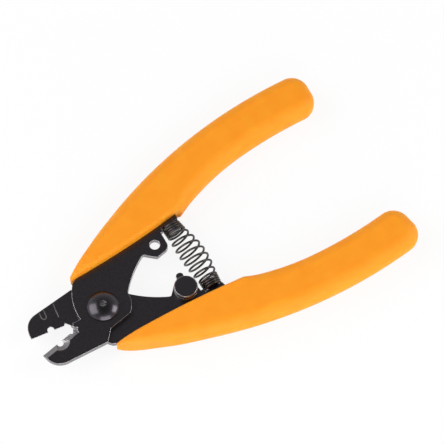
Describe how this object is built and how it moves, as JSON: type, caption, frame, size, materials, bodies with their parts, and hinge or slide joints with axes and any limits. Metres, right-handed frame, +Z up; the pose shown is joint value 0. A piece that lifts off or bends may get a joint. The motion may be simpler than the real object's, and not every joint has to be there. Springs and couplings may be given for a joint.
{
  "type": "cable jacket stripper",
  "caption": "Small plier-type cable jacket stripper: black stamped jaws with a round notch, pivot screw, barrel return spring, turning stop lever and bowed orange grips.",
  "frame": {"origin": "centre of the bounding box in plan, on the plane that the grips rest on", "axes": "+X from the jaws towards the handle ends, +Y towards the front half's handle, +Z up along the pivot towards the screw's head"},
  "size_m": [0.1396, 0.0842, 0.0108],
  "materials": {
    "plate_steel": "black oxide, satin, lighter on the ground edges",
    "fastener_steel": "black oxide, slightly glossy",
    "spring_steel": "oiled dark spring wire",
    "grip_vinyl": "moulded orange vinyl, satin",
    "nylon": "natural nylon"
  },
  "bodies": {
    "rear": {"rear_half": "plate_steel", "rear_grip": "grip_vinyl", "pivot_screw": "fastener_steel", "pivot_nut": "fastener_steel", "nut_insert": "nylon", "return_spring": "spring_steel", "stop_washer": "spring_steel", "stop_rivet": "fastener_steel", "rivet_washer": "fastener_steel"},
    "front": {"front_half": "plate_steel", "front_grip": "grip_vinyl"},
    "lever": {"stop_lever": "fastener_steel"}
  },
  "joints": [
    {"name": "handle_pivot", "type": "hinge", "parent": "rear", "child": "front", "pos_m": [-0.04201, 0, 0.0064], "axis": [0, 0, -1], "range_deg": [0, 18], "stiffness_Nm_per_rad": 0.86, "springref_deg": -12.61, "deforming": ["return_spring"]},
    {"name": "stop_turn", "type": "hinge", "parent": "rear", "child": "lever", "pos_m": [-0.01347, -0.01029, 0.0062], "axis": [0, 0, 1], "range_deg": [0, 100]}
  ]
}
